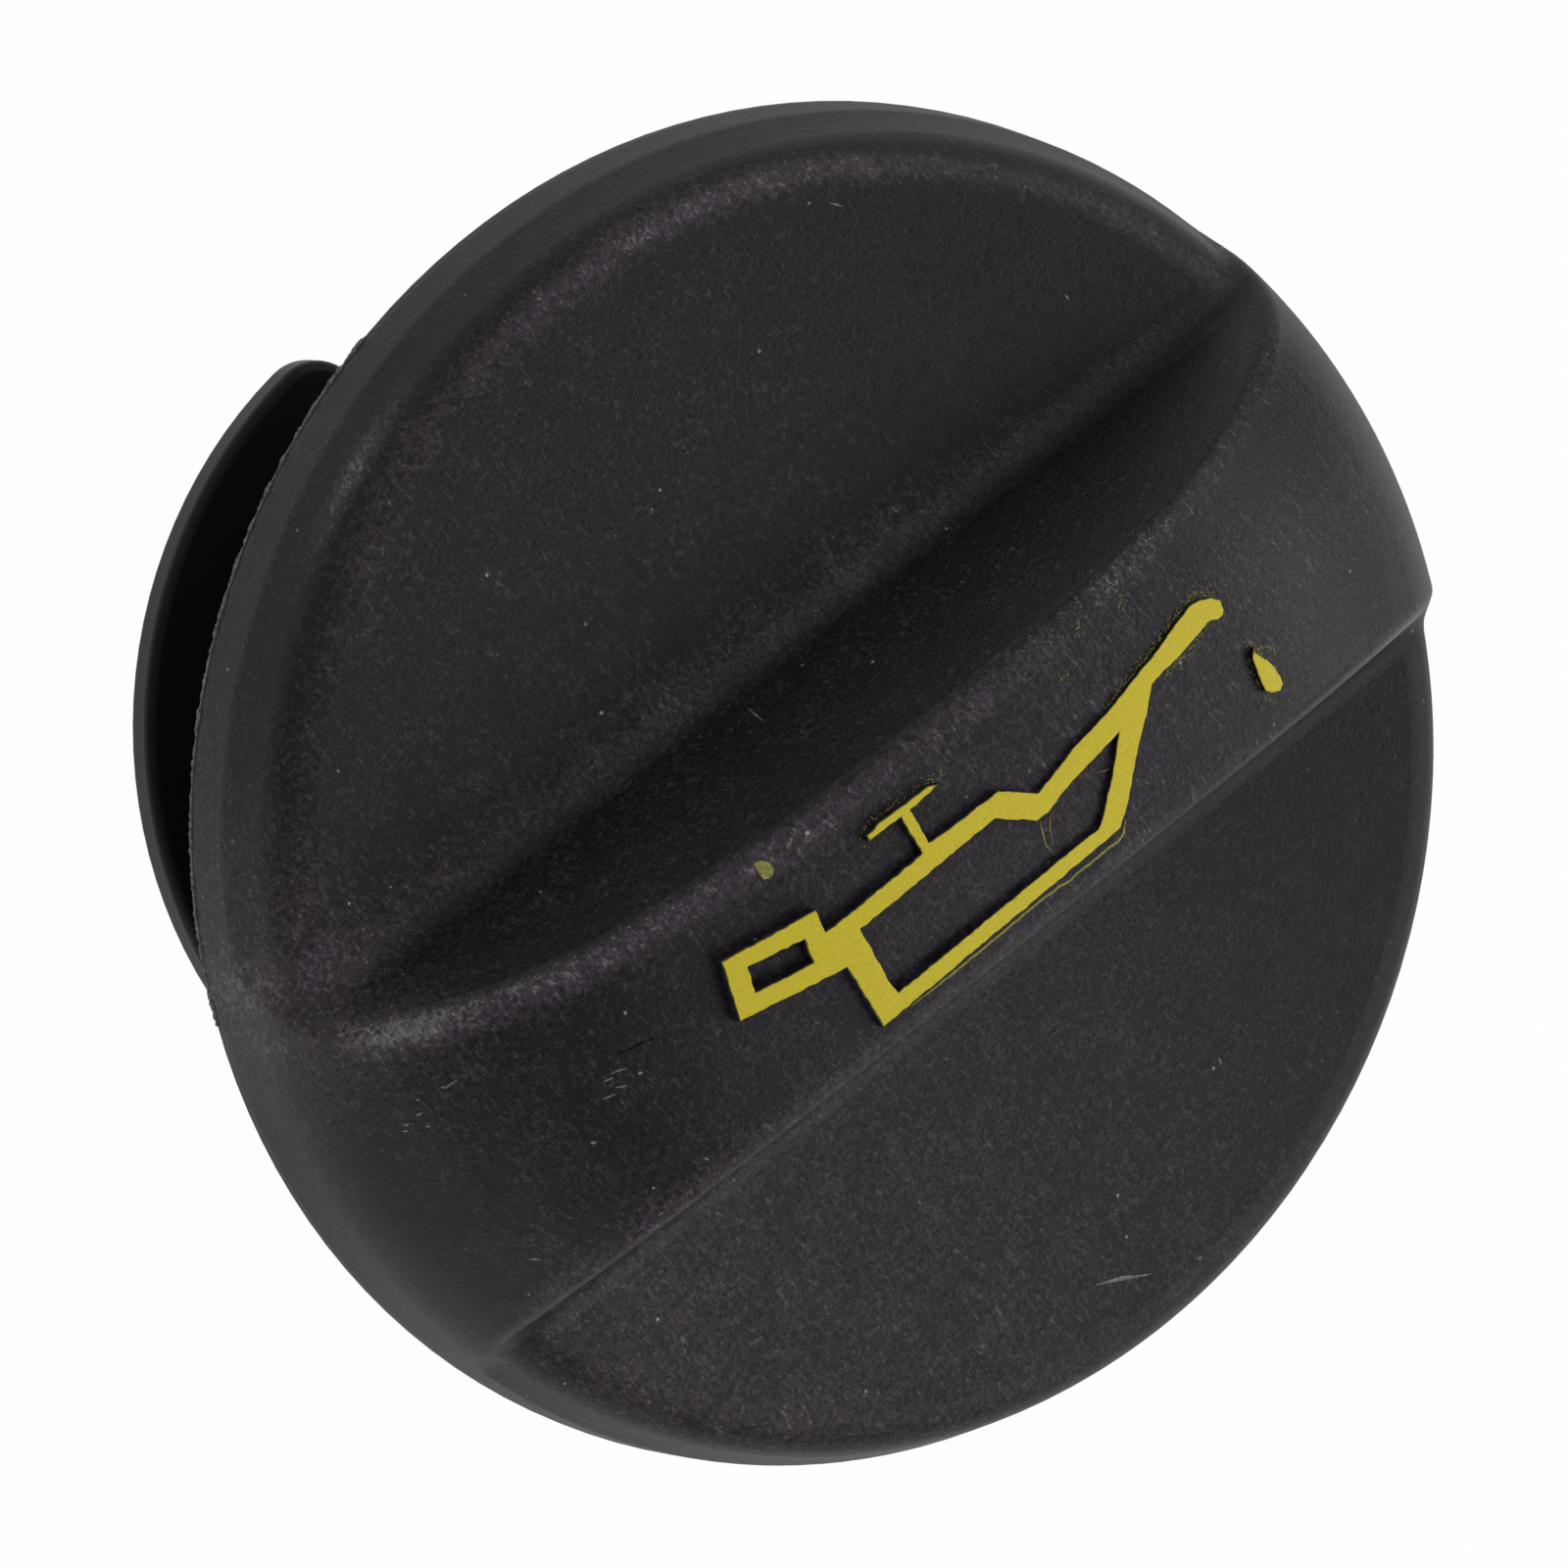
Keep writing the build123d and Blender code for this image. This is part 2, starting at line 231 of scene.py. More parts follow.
# Oil can sign
# The sign stands proud of the grip bar, moulded in one with it, higher at its handle than at its spout.
# Only its top faces are painted, with a pad, so its walls stay black and the paint ends in ragged edges.
# Its outlines are in millimetres from the cap's axis, as are those of the other marks on the skin.
SIGN_HEIGHT, SIGN_SUNK, SIGN_EDGE = 0.5, 0.15, 0.10
EDGE_STEPS = 2
BEND_GRID, MERGE_WITHIN = 0.6, 0.002
HANDLE_X, SPOUT_X = -16 * MM, 6 * MM
STAND_AT_HANDLE, STAND_AT_SPOUT = 1.7, 0.7
OIL_CAN = [
    [(-15.28, 3.2), (-9.82, 2.44), (-9.97, 1.16), (-3.61, 1.37), (-3.64, 3.57), (-5.67, 3.59), (-5.64, 3.92),
     (-4.61, 4.08), (-2.85, 4.02), (-1.55, 3.99), (-1.0, 3.76), (-1.26, 3.67), (-2.96, 3.54), (-2.99, 1.58),
     (1.57, 1.42), (3.37, -0.05), (6.5, 0.63), (8.76, 0.9), (11.39, 1.4), (13.15, 1.71), (14.85, 2.13),
     (15.87, 2.32), (16.51, 2.22), (17.25, 1.86), (17.58, 1.43), (17.55, 0.87), (17.35, 0.72),
     (16.98, 0.71), (16.34, 0.96), (15.54, 0.82), (14.18, 0.65), (12.72, 0.56), (11.87, 0.46),
     (10.74, -0.6), (9.62, -1.53), (8.75, -2.35), (7.4, -3.69), (6.43, -4.44), (5.99, -4.49), (2.0, -4.5),
     (-2.67, -4.55), (-9.86, -4.85), (-9.97, -1.08), (-16.04, -0.01)],
    [(-14.25, 2.08), (-11.11, 1.52), (-11.35, 0.27), (-14.57, 0.79)],
    [(-8.35, 0.14), (-1.71, 0.33), (0.65, 0.35), (2.57, -1.18), (3.33, -1.26), (4.7, -0.88), (7.4, -0.54),
     (8.89, -0.36), (8.04, -1.23), (7.3, -2.0), (6.32, -2.89), (5.53, -3.62), (5.23, -3.7), (3.5, -3.62),
     (-2.16, -3.64), (-8.29, -3.79), (-8.39, -2.95)],
]
OIL_DROP = [
    [(17.92, -1.75), (17.93, -2.13), (18.31, -2.78), (18.51, -3.45), (18.52, -4.12), (18.45, -4.51),
     (18.16, -4.66), (17.59, -4.4), (17.36, -4.06), (17.38, -3.48), (17.47, -2.81), (17.62, -2.19)],
]
LID_ON_CAN, SPOUT_OF_CAN = OIL_CAN[0][4:13], OIL_CAN[0][17:34]
RAGS_PER_MM, RAGS_SEED = 2.2, 11
noise.seed_set(RAGS_SEED)


def ragged(outline, step, depth):
    """The outline in steps of about one length, each point moved a little by noise."""
    points = []
    for (x0, y0), (x1, y1) in zip(outline, outline[1:] + outline[:1]):
        count = max(1, round(math.hypot(x1 - x0, y1 - y0) / step))
        for i in range(count):
            point = Vector((x0 + (x1 - x0) * i / count, y0 + (y1 - y0) * i / count, 0))
            points.append(point + depth * noise.noise_vector(point * RAGS_PER_MM))
    return points


def flat_relief(name, outlines, top, sunk, edge):
    """A closed mesh in metres over the XY plane with these outlines, their holes and rounded edges.

    It is cut along a grid so that it can bend over a surface."""
    curve = bpy.data.curves.new(name, "CURVE")
    curve.dimensions = "2D"
    curve.fill_mode = "BOTH"
    curve.bevel_depth = edge
    curve.bevel_resolution = EDGE_STEPS
    curve.offset = -edge
    curve.extrude = (top + sunk) / 2 - edge
    for outline in outlines:
        spline = curve.splines.new("POLY")
        spline.points.add(len(outline) - 1)
        for point, corner in zip(spline.points, outline):
            point.co = (corner.x, corner.y, 0, 1)
        spline.use_cyclic_u = True
    drawing = bpy.data.objects.new(name, curve)
    bpy.context.scene.collection.objects.link(drawing)
    mesh = bpy.data.meshes.new_from_object(drawing.evaluated_get(bpy.context.evaluated_depsgraph_get()))
    bpy.data.objects.remove(drawing)
    cut = bmesh.new()
    cut.from_mesh(mesh)
    bmesh.ops.remove_doubles(cut, verts=cut.verts, dist=MERGE_WITHIN)
    for axis in (0, 1):
        places = [vertex.co[axis] for vertex in cut.verts]
        across = Vector((1 - axis, axis, 0))
        for i in range(1, math.ceil((max(places) - min(places)) / BEND_GRID)):
            everything = cut.verts[:] + cut.edges[:] + cut.faces[:]
            on_grid = across * (min(places) + i * BEND_GRID)
            bmesh.ops.bisect_plane(cut, geom=everything, plane_co=on_grid, plane_no=across)
    bmesh.ops.triangulate(cut, faces=cut.faces)
    bmesh.ops.recalc_face_normals(cut, faces=cut.faces)
    cut.to_mesh(mesh)
    cut.free()
    mesh.transform(Matrix.Scale(MM, 4) @ Matrix.Translation((0, 0, (top - sunk) / 2)))
    return mesh


def grown(name, mesh, tree, **values):
    """Add the piece that a node tree makes from a mesh, as a plain mesh that rides on the root."""
    piece = bpy.data.objects.new(name, mesh)
    bpy.context.scene.collection.objects.link(piece)
    modifier = piece.modifiers.new(name, "NODES")
    modifier.node_group = tree
    for item in tree.interface.items_tree:
        if item.in_out == "INPUT" and item.name in values:
            modifier[item.identifier] = values[item.name]
    made = bpy.data.meshes.new_from_object(piece.evaluated_get(bpy.context.evaluated_depsgraph_get()))
    piece.modifiers.clear()
    piece.data = made
    made.name = name
    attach(piece, "root")


# The tree lays a flat relief on the knob: each point falls straight down onto the surface
# and keeps its height, stretched from one stand at the handle to another at the spout
FALL = 100 * MM
PAINTED_ABOVE = 0.5
drape = bpy.data.node_groups.new("relief_on_surface", "GeometryNodeTree")
for socket, kind in (("Relief", "Geometry"), ("Surface", "Object"), ("Handle stand", "Float"),
                     ("Spout stand", "Float"), ("Body", "Material"), ("Paint", "Material")):
    drape.interface.new_socket(socket, in_out="INPUT", socket_type="NodeSocket" + kind)
drape.interface.new_socket("Sign", in_out="OUTPUT", socket_type="NodeSocketGeometry")
given = add(drape, "NodeGroupInput").outputs
surface = add(drape, "GeometryNodeObjectInfo", [("Object", given["Surface"])])
here = add(drape, "GeometryNodeInputPosition").outputs[0]
flat = add(drape, "ShaderNodeSeparateXYZ", [(0, here)]).outputs
above = add(drape, "ShaderNodeCombineXYZ", [("X", flat["X"]), ("Y", flat["Y"]), ("Z", FALL)])
landing = add(drape, "GeometryNodeRaycast", [
    ("Target Geometry", surface.outputs["Geometry"]), ("Source Position", above.outputs[0]),
    ("Ray Direction", (0, 0, -1)), ("Ray Length", FALL)])
stand = add(drape, "ShaderNodeMapRange", [
    (0, flat["X"]), (1, HANDLE_X), (2, SPOUT_X), (3, given["Handle stand"]), (4, given["Spout stand"])])
lifted = add(drape, "ShaderNodeMath", [(0, flat["Z"]), (1, stand.outputs[0])], operation="MULTIPLY")
height = add(drape, "ShaderNodeCombineXYZ", [("Z", lifted.outputs[0])])
laid = add(drape, "ShaderNodeVectorMath", [(0, landing.outputs["Hit Position"]), (1, height.outputs[0])])
laid = add(drape, "GeometryNodeSetPosition", [("Geometry", given["Relief"]), ("Position", laid.outputs[0])])
normal = add(drape, "GeometryNodeInputNormal").outputs[0]
upward = add(drape, "ShaderNodeSeparateXYZ", [(0, normal)]).outputs
painted = add(drape, "FunctionNodeCompare", [
    (0, upward["Z"]), (1, PAINTED_ABOVE)], operation="GREATER_THAN")
solid = add(drape, "GeometryNodeRealizeInstances", [(0, laid.outputs[0])])
solid = add(drape, "GeometryNodeSetMaterial", [("Geometry", solid.outputs[0]), ("Material", given["Body"])])
solid = add(drape, "GeometryNodeSetMaterial", [
    ("Geometry", solid.outputs[0]), ("Selection", painted.outputs[0]), ("Material", given["Paint"])])
drape.links.new(solid.outputs[0], add(drape, "NodeGroupOutput").inputs[0])

# Pad-printed enamel is a strong yellow that turns green where it thins out over the black at the edges.
# It dries with a fine orange peel.
PEEL, PEEL_DEPTH = 0.16 * MM, 0.015 * MM
THIN_ON_EDGES = (0.96, 0.70, 0.0, 0.7)
enamel = bpy.data.materials.new("enamel_pad_printed")
enamel.use_nodes = True
tree = enamel.node_tree
film = tree.nodes["Principled BSDF"]
coordinates = add(tree, "ShaderNodeTexCoord")
spot, facing = coordinates.outputs["Object"], coordinates.outputs["Normal"]
peel = add(tree, "ShaderNodeTexNoise", [(0, spot), ("Scale", 1 / PEEL), ("Detail", 3)]).outputs[0]
tilt = add(tree, "ShaderNodeSeparateXYZ", [(0, facing)]).outputs
thin = mark(tree, (tilt["Z"], *THIN_ON_EDGES))
cover = add(tree, "ShaderNodeMath", [(0, peel), (1, thin)], operation="SUBTRACT")
yellows = add(tree, "ShaderNodeValToRGB", [(0, cover.outputs[0])])
yellows.color_ramp.elements[0].color = linear("#4e5a20")
yellows.color_ramp.elements[1].color = linear("#ddd034")
yellows.color_ramp.elements.new(0.3).color = linear("#c8b41c")
tree.links.new(yellows.outputs[0], film.inputs["Base Color"])
film.inputs["Roughness"].default_value = 0.5
film.inputs["Specular IOR Level"].default_value = 0.35
relief = add(tree, "ShaderNodeBump", [("Height", peel), ("Strength", 1.0), ("Distance", PEEL_DEPTH)])
tree.links.new(relief.outputs[0], film.inputs["Normal"])

can = [ragged(outline, step=0.12, depth=0.06) for outline in OIL_CAN + OIL_DROP]
can = flat_relief("oil_can", can, SIGN_HEIGHT, SIGN_SUNK, SIGN_EDGE)
grown("oil_can_sign", can, drape, **{
    "Surface": knob, "Handle stand": STAND_AT_HANDLE, "Spout stand": STAND_AT_SPOUT,
    "Body": polyamide, "Paint": enamel})

# Paint traces
# Where the pad touched the plastic beside the sign it left a dot, a second line and a few threads.
# They are a thin film of enamel that lies flat on the skin.
TRACE_HEIGHT, TRACE_SUNK = 0.03, 0.05
PAINT_DOT = [(-11.02, 6.07), (-10.65, 5.9), (-10.36, 5.6), (-10.36, 5.23), (-10.55, 4.98), (-10.81, 4.93),
             (-11.04, 5.05), (-11.1, 5.38), (-11.11, 5.76)]
PAINT_LINES = (
    (0.13, [(7.0, -4.37), (6.56, -4.97), (6.07, -5.1), (5.34, -5.04), (4.1, -5.05), (3.12, -4.99),
            (2.85, -5.1), (2.0, -4.95), (0.69, -4.9), (-0.66, -4.95), (-2.65, -5.0), (-5.92, -5.1),
            (-7.82, -5.12)]),
    (0.07, [(2.85, -1.48), (2.68, -2.08), (2.5, -2.69), (2.61, -3.38)]),
    (0.05, [(3.47, -1.57), (3.13, -2.11), (2.83, -2.93)]),
    (0.05, [(6.91, -1.43), (7.29, -1.59), (7.7, -1.71)]),
)
WIDTH_AT_TIPS = 0.25


def strip(points, width):
    """The outline of a stroke along some points, drawn out thin at both ends."""
    points = [Vector(point) for point in points]
    if len(points) == 2:
        points.insert(1, (points[0] + points[1]) / 2)
    one_side, other_side = [], []
    for i, point in enumerate(points):
        along = (points[min(i + 1, len(points) - 1)] - points[max(i - 1, 0)]).normalized()
        share = WIDTH_AT_TIPS if i in (0, len(points) - 1) else 1
        across = Vector((-along.y, along.x)) * width / 2 * share
        one_side.append(point + across)
        other_side.append(point - across)
    return one_side + other_side[::-1]


# Thin enamel lets the black show through, so it looks olive green
thin_enamel = bpy.data.materials.new("enamel_thin_film")
thin_enamel.use_nodes = True
tree = thin_enamel.node_tree
film = tree.nodes["Principled BSDF"]
spot = add(tree, "ShaderNodeTexCoord").outputs["Object"]
cover = add(tree, "ShaderNodeTexNoise", [(0, spot), ("Scale", 1 / PEEL), ("Detail", 4), ("Roughness", 0.7)])
greens = add(tree, "ShaderNodeValToRGB", [(0, cover.outputs[0])])
greens.color_ramp.elements[0].position = 0.3
greens.color_ramp.elements[0].color = linear("#4a4c26")
greens.color_ramp.elements[1].position = 0.7
greens.color_ramp.elements[1].color = linear("#a4a14c")
tree.links.new(greens.outputs[0], film.inputs["Base Color"])
film.inputs["Roughness"].default_value = 0.5
film.inputs["Specular IOR Level"].default_value = 0.35

traces = [ragged(PAINT_DOT, step=0.1, depth=0.03)]
traces += [ragged(strip(points, width), step=0.15, depth=0.04) for width, points in PAINT_LINES]
traces = flat_relief("paint_traces", traces, TRACE_HEIGHT, TRACE_SUNK, edge=0)
grown("sign_paint_traces", traces, drape, **{
    "Surface": knob, "Handle stand": 1, "Spout stand": 1, "Body": thin_enamel, "Paint": thin_enamel})

# Overspray
# Fine drops of paint flew off beside the spout, the drop and the lid on the can, and dried as flat beads.
# Each bead is thin enamel that sits on the knob's skin.
SPRAY_PATHS = (
    [(9.15, 0.94), (11.61, 1.43), (13.56, 1.86), (15.24, 2.26), (16.48, 2.54), (17.75, 2.2)],
    [(12.89, 0.12), (14.58, 0.36), (15.86, 0.51)],
    [(18.0, -1.5), (18.37, -2.11), (18.99, -2.57), (19.18, -3.21)],
    [(17.35, -4.5), (17.49, -4.9)],
    [(15.38, 6.4), (15.7, 6.3), (16.19, 6.29)],
    [(17.17, 6.41), (17.8, 6.44)],
    [(10.16, 5.63), (9.96, 4.94)],
    [(13.01, 5.12), (12.6, 4.33)],
    [(7.66, 3.72), (8.05, 3.68)],
    [(-1.23, 4.05), (-0.28, 3.72)],
    LID_ON_CAN, SPOUT_OF_CAN, OIL_DROP[0],
)
BEAD_SHAPE = (1, 1, 0.5)
STRAY_SEED, REACH_SEED, SIZE_SEED = 3, 5, 7
paths = bpy.data.meshes.new("spray_paths")
corners, edges = [], []
for path in SPRAY_PATHS:
    edges += [(len(corners) + i, len(corners) + i + 1) for i in range(len(path) - 1)]
    corners += [(x * MM, y * MM, 0) for x, y in path]
paths.from_pydata(corners, edges, [])

# A random value has a pair of limits for each kind of value, so its sockets are given by number
spray = bpy.data.node_groups.new("beads_along_paths", "GeometryNodeTree")
for socket, kind in (("Paths", "Geometry"), ("Surface", "Object"), ("Spacing", "Float"), ("Reach", "Float"),
                     ("Smallest", "Float"), ("Largest", "Float"), ("Paint", "Material")):
    spray.interface.new_socket(socket, in_out="INPUT", socket_type="NodeSocket" + kind)
spray.interface.new_socket("Beads", in_out="OUTPUT", socket_type="NodeSocketGeometry")
given = add(spray, "NodeGroupInput").outputs
surface = add(spray, "GeometryNodeObjectInfo", [("Object", given["Surface"])])
lines = add(spray, "GeometryNodeMeshToCurve", [(0, given["Paths"])])
dots = add(spray, "GeometryNodeCurveToPoints", [
    ("Curve", lines.outputs[0]), ("Length", given["Spacing"])], mode="LENGTH")
stray = add(spray, "FunctionNodeRandomValue", [
    (0, (-1, -1, 0)), (1, (1, 1, 0)), (8, STRAY_SEED)], data_type="FLOAT_VECTOR")
share = add(spray, "FunctionNodeRandomValue", [(2, 0.0), (3, 1.0), (8, REACH_SEED)], data_type="FLOAT")
reach = add(spray, "ShaderNodeMath", [(0, share.outputs[1]), (1, given["Reach"])], operation="MULTIPLY")
stray = add(spray, "ShaderNodeVectorMath", [
    (0, stray.outputs[0]), ("Scale", reach.outputs[0])], operation="SCALE")
here = add(spray, "GeometryNodeInputPosition").outputs[0]
stray = add(spray, "ShaderNodeVectorMath", [(0, here), (1, stray.outputs[0])])
stray = add(spray, "ShaderNodeVectorMath", [(0, stray.outputs[0]), (1, (0, 0, FALL))])
landing = add(spray, "GeometryNodeRaycast", [
    ("Target Geometry", surface.outputs["Geometry"]), ("Source Position", stray.outputs[0]),
    ("Ray Direction", (0, 0, -1)), ("Ray Length", FALL)])
dots = add(spray, "GeometryNodeSetPosition", [
    ("Geometry", dots.outputs[0]), ("Position", landing.outputs["Hit Position"])])
bead = add(spray, "GeometryNodeMeshIcoSphere", [("Radius", 1.0), ("Subdivisions", 1)])
size = add(spray, "FunctionNodeRandomValue", [
    (2, given["Smallest"]), (3, given["Largest"]), (8, SIZE_SEED)], data_type="FLOAT")
size = add(spray, "ShaderNodeVectorMath", [
    (0, BEAD_SHAPE), ("Scale", size.outputs[1])], operation="SCALE")
beads = add(spray, "GeometryNodeInstanceOnPoints", [
    ("Points", dots.outputs[0]), ("Instance", bead.outputs[0]), ("Scale", size.outputs[0])])
beads = add(spray, "GeometryNodeRealizeInstances", [(0, beads.outputs[0])])
beads = add(spray, "GeometryNodeSetMaterial", [
    ("Geometry", beads.outputs[0]), ("Material", given["Paint"])])
spray.links.new(beads.outputs[0], add(spray, "NodeGroupOutput").inputs[0])
grown("sign_overspray", paths, spray, Surface=knob, Spacing=0.03 * MM, Reach=0.45 * MM,
      Smallest=0.015 * MM, Largest=0.05 * MM, Paint=thin_enamel)

# Scuffs
# Knocks and scratches have torn pale fibres out of the knob's skin, and two cuts show black.
# Each is a sliver of torn skin that lies on the knob.
SCUFF_HEIGHT, SCUFF_SUNK = 0.02, 0.05
PALE_SCUFFS = (
    (0.12, [(-22.87, 1.0), (-22.39, 0.91)]), (0.12, [(-23.37, 0.25), (-22.71, 0.1)]),
    (0.10, [(-22.55, 0.41), (-22.03, 0.17)]), (0.08, [(-22.45, 1.19), (-21.6, 0.97)]),
    (0.18, [(-21.3, 0.4), (-21.05, 0.34)]), (0.18, [(-24.83, -1.47), (-24.6, -1.6)]),
    (0.14, [(-29.73, -5.63), (-29.29, -5.91)]), (0.14, [(-28.96, 4.68), (-28.37, 4.73)]),
    (0.14, [(-31.34, 3.75), (-31.1, 3.7)]), (0.12, [(-30.72, 3.96), (-30.4, 3.98)]),
    (0.10, [(-23.8, -6.83), (-23.49, -6.73)]), (0.12, [(-20.64, -5.34), (-20.42, -5.6)]),
    (0.12, [(12.8, 6.35), (12.73, 6.04), (12.95, 5.7)]),
    (0.22, [(-3.08, -28.71), (-1.63, -29.37), (-0.12, -30.27)]),
    (0.12, [(13.7, 27.4), (14.3, 26.8)]), (0.14, [(9.07, -23.0), (9.05, -23.45)]),
    (0.12, [(22.44, 15.77), (22.52, 15.4)]), (0.10, [(-4.38, 9.48), (-4.5, 8.97)]),
    (0.14, [(-30.6, 3.3), (-30.45, 3.15)]), (0.16, [(-30.3, 4.75), (-30.2, 4.6)]),
    (0.16, [(-29.15, 4.8), (-28.95, 4.6)]), (0.14, [(-31.5, 3.5), (-31.3, 3.35)]),
)
DARK_CUTS = (
    (0.10, [(-21.55, 1.84), (-20.6, 1.72), (-19.76, 1.49)]),
    (0.14, [(-1.87, -7.01), (-3.2, -7.45), (-4.57, -7.78)]),
)

# Torn polyamide is dry and pale grey, with no gloss
torn = bpy.data.materials.new("polyamide_torn")
torn.use_nodes = True
tree = torn.node_tree
skin = tree.nodes["Principled BSDF"]
spot = add(tree, "ShaderNodeTexCoord").outputs["Object"]
nap = add(tree, "ShaderNodeTexNoise", [(0, spot), ("Scale", 1 / GRAIN), ("Detail", 4), ("Roughness", 0.7)])
greys = add(tree, "ShaderNodeValToRGB", [(0, nap.outputs[0])])
greys.color_ramp.elements[0].position = 0.3
greys.color_ramp.elements[0].color = linear("#2c2a2c")
greys.color_ramp.elements[1].position = 0.7
greys.color_ramp.elements[1].color = linear("#8f8d8e")
tree.links.new(greys.outputs[0], skin.inputs["Base Color"])
skin.inputs["Roughness"].default_value = 0.8

# A fresh cut shows the plastic's deep black
cut_skin = bpy.data.materials.new("polyamide_cut")
cut_skin.use_nodes = True
skin = cut_skin.node_tree.nodes["Principled BSDF"]
skin.inputs["Base Color"].default_value = linear("#080708")
skin.inputs["Roughness"].default_value = 0.7
skin.inputs["Specular IOR Level"].default_value = 0.1

for name, marks, finish in (("pale_scuffs", PALE_SCUFFS, torn), ("dark_cuts", DARK_CUTS, cut_skin)):
    slivers = [ragged(strip(points, width), step=0.08, depth=0.03) for width, points in marks]
    slivers = flat_relief(name, slivers, SCUFF_HEIGHT, SCUFF_SUNK, edge=0)
    grown(name, slivers, drape, **{
        "Surface": knob, "Handle stand": 1, "Spout stand": 1, "Body": finish, "Paint": finish})

# Rim flash
# A ragged thread of plastic was squeezed out where the two halves of the tool met.
# It is one with the knob and still hangs on the rear of its rim.
FLASH_RADIUS = 35.0 * MM
FLASH_OVER_RIM = 0.06 * MM
FLASH_START, FLASH_SWEEP = math.radians(104), math.radians(60)
FLASH_STEPS, FLASH_SIDES = 700, 6
FLASH_LUMP = 0.7 * MM
LUMPS_SHOW = (0.40, 0.75)
flash = bpy.data.node_groups.new("flash_on_rim", "GeometryNodeTree")
for socket in ("Radius", "Height", "Start", "Sweep", "Lump", "Thinnest", "Thickest"):
    flash.interface.new_socket(socket, in_out="INPUT", socket_type="NodeSocketFloat")
flash.interface.new_socket("Plastic", in_out="INPUT", socket_type="NodeSocketMaterial")
flash.interface.new_socket("Flash", in_out="OUTPUT", socket_type="NodeSocketGeometry")
given = add(flash, "NodeGroupInput").outputs
rim = add(flash, "GeometryNodeCurveArc", [
    ("Resolution", FLASH_STEPS), (4, given["Radius"]), (5, given["Start"]), (6, given["Sweep"])])
level = add(flash, "ShaderNodeCombineXYZ", [("Z", given["Height"])])
rim = add(flash, "GeometryNodeTransform", [("Geometry", rim.outputs[0]), ("Translation", level.outputs[0])])
lumps = add(flash, "ShaderNodeMath", [(0, 1.0), (1, given["Lump"])], operation="DIVIDE")
lumps = add(flash, "ShaderNodeTexNoise", [("Scale", lumps.outputs[0]), ("Detail", 4), ("Roughness", 0.65)])
thickness = mark(flash, (lumps.outputs[0], *LUMPS_SHOW, given["Thinnest"], given["Thickest"]))
ring = add(flash, "GeometryNodeCurvePrimitiveCircle", [("Resolution", FLASH_SIDES), (4, 1.0)])
thread = add(flash, "GeometryNodeCurveToMesh", [
    ("Curve", rim.outputs[0]), ("Profile Curve", ring.outputs[0]), ("Scale", thickness),
    ("Fill Caps", True)])
thread = add(flash, "GeometryNodeRealizeInstances", [(0, thread.outputs[0])])
thread = add(flash, "GeometryNodeSetMaterial", [
    ("Geometry", thread.outputs[0]), ("Material", given["Plastic"])])
flash.links.new(thread.outputs[0], add(flash, "NodeGroupOutput").inputs[0])
grown("rim_flash", bpy.data.meshes.new("rim_flash_start"), flash, Radius=FLASH_RADIUS,
      Height=rim_z + FLASH_OVER_RIM, Start=FLASH_START, Sweep=FLASH_SWEEP, Lump=FLASH_LUMP,
      Thinnest=0.05 * MM, Thickest=0.24 * MM, Plastic=torn)

# Stem
# The closing plate, stem and lugs are one moulding in plain black polyamide.
# Its skin is darker and smoother than the knob's.
SATIN_GRAIN, SATIN_DEPTH = 0.5 * MM, 0.006 * MM
satin = bpy.data.materials.new("polyamide_moulded_satin")
satin.use_nodes = True
tree = satin.node_tree
skin = tree.nodes["Principled BSDF"]
spot = add(tree, "ShaderNodeTexCoord").outputs["Object"]
cloud = add(tree, "ShaderNodeTexNoise", [(0, spot), ("Scale", 1 / SATIN_GRAIN), ("Detail", 4)]).outputs[0]
blacks = add(tree, "ShaderNodeValToRGB", [(0, cloud)])
blacks.color_ramp.elements[0].color = linear("#0a0a0a")
blacks.color_ramp.elements[1].color = linear("#121212")
tree.links.new(blacks.outputs[0], skin.inputs["Base Color"])
skin.inputs["Roughness"].default_value = 0.45
skin.inputs["Specular IOR Level"].default_value = 0.16
relief = add(tree, "ShaderNodeBump", [("Height", cloud), ("Strength", 1.0), ("Distance", SATIN_DEPTH)])
tree.links.new(relief.outputs[0], skin.inputs["Normal"])
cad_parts["bayonet_stem"].material_slots[0].material = satin

# Seal
# A flat ring of oil-resistant rubber lies round the stem against the plate.
# Moulded rubber is matt, with a faint bloom.
BLOOM = 1.5 * MM
rubber = bpy.data.materials.new("nitrile_rubber_moulded")
rubber.use_nodes = True
tree = rubber.node_tree
skin = tree.nodes["Principled BSDF"]
spot = add(tree, "ShaderNodeTexCoord").outputs["Object"]
bloom = add(tree, "ShaderNodeTexNoise", [(0, spot), ("Scale", 1 / BLOOM), ("Detail", 5), ("Roughness", 0.7)])
blacks = add(tree, "ShaderNodeValToRGB", [(0, bloom.outputs[0])])
blacks.color_ramp.elements[0].color = linear("#141414")
blacks.color_ramp.elements[1].color = linear("#262626")
tree.links.new(blacks.outputs[0], skin.inputs["Base Color"])
skin.inputs["Roughness"].default_value = 0.65
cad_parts["seal_ring"].material_slots[0].material = rubber

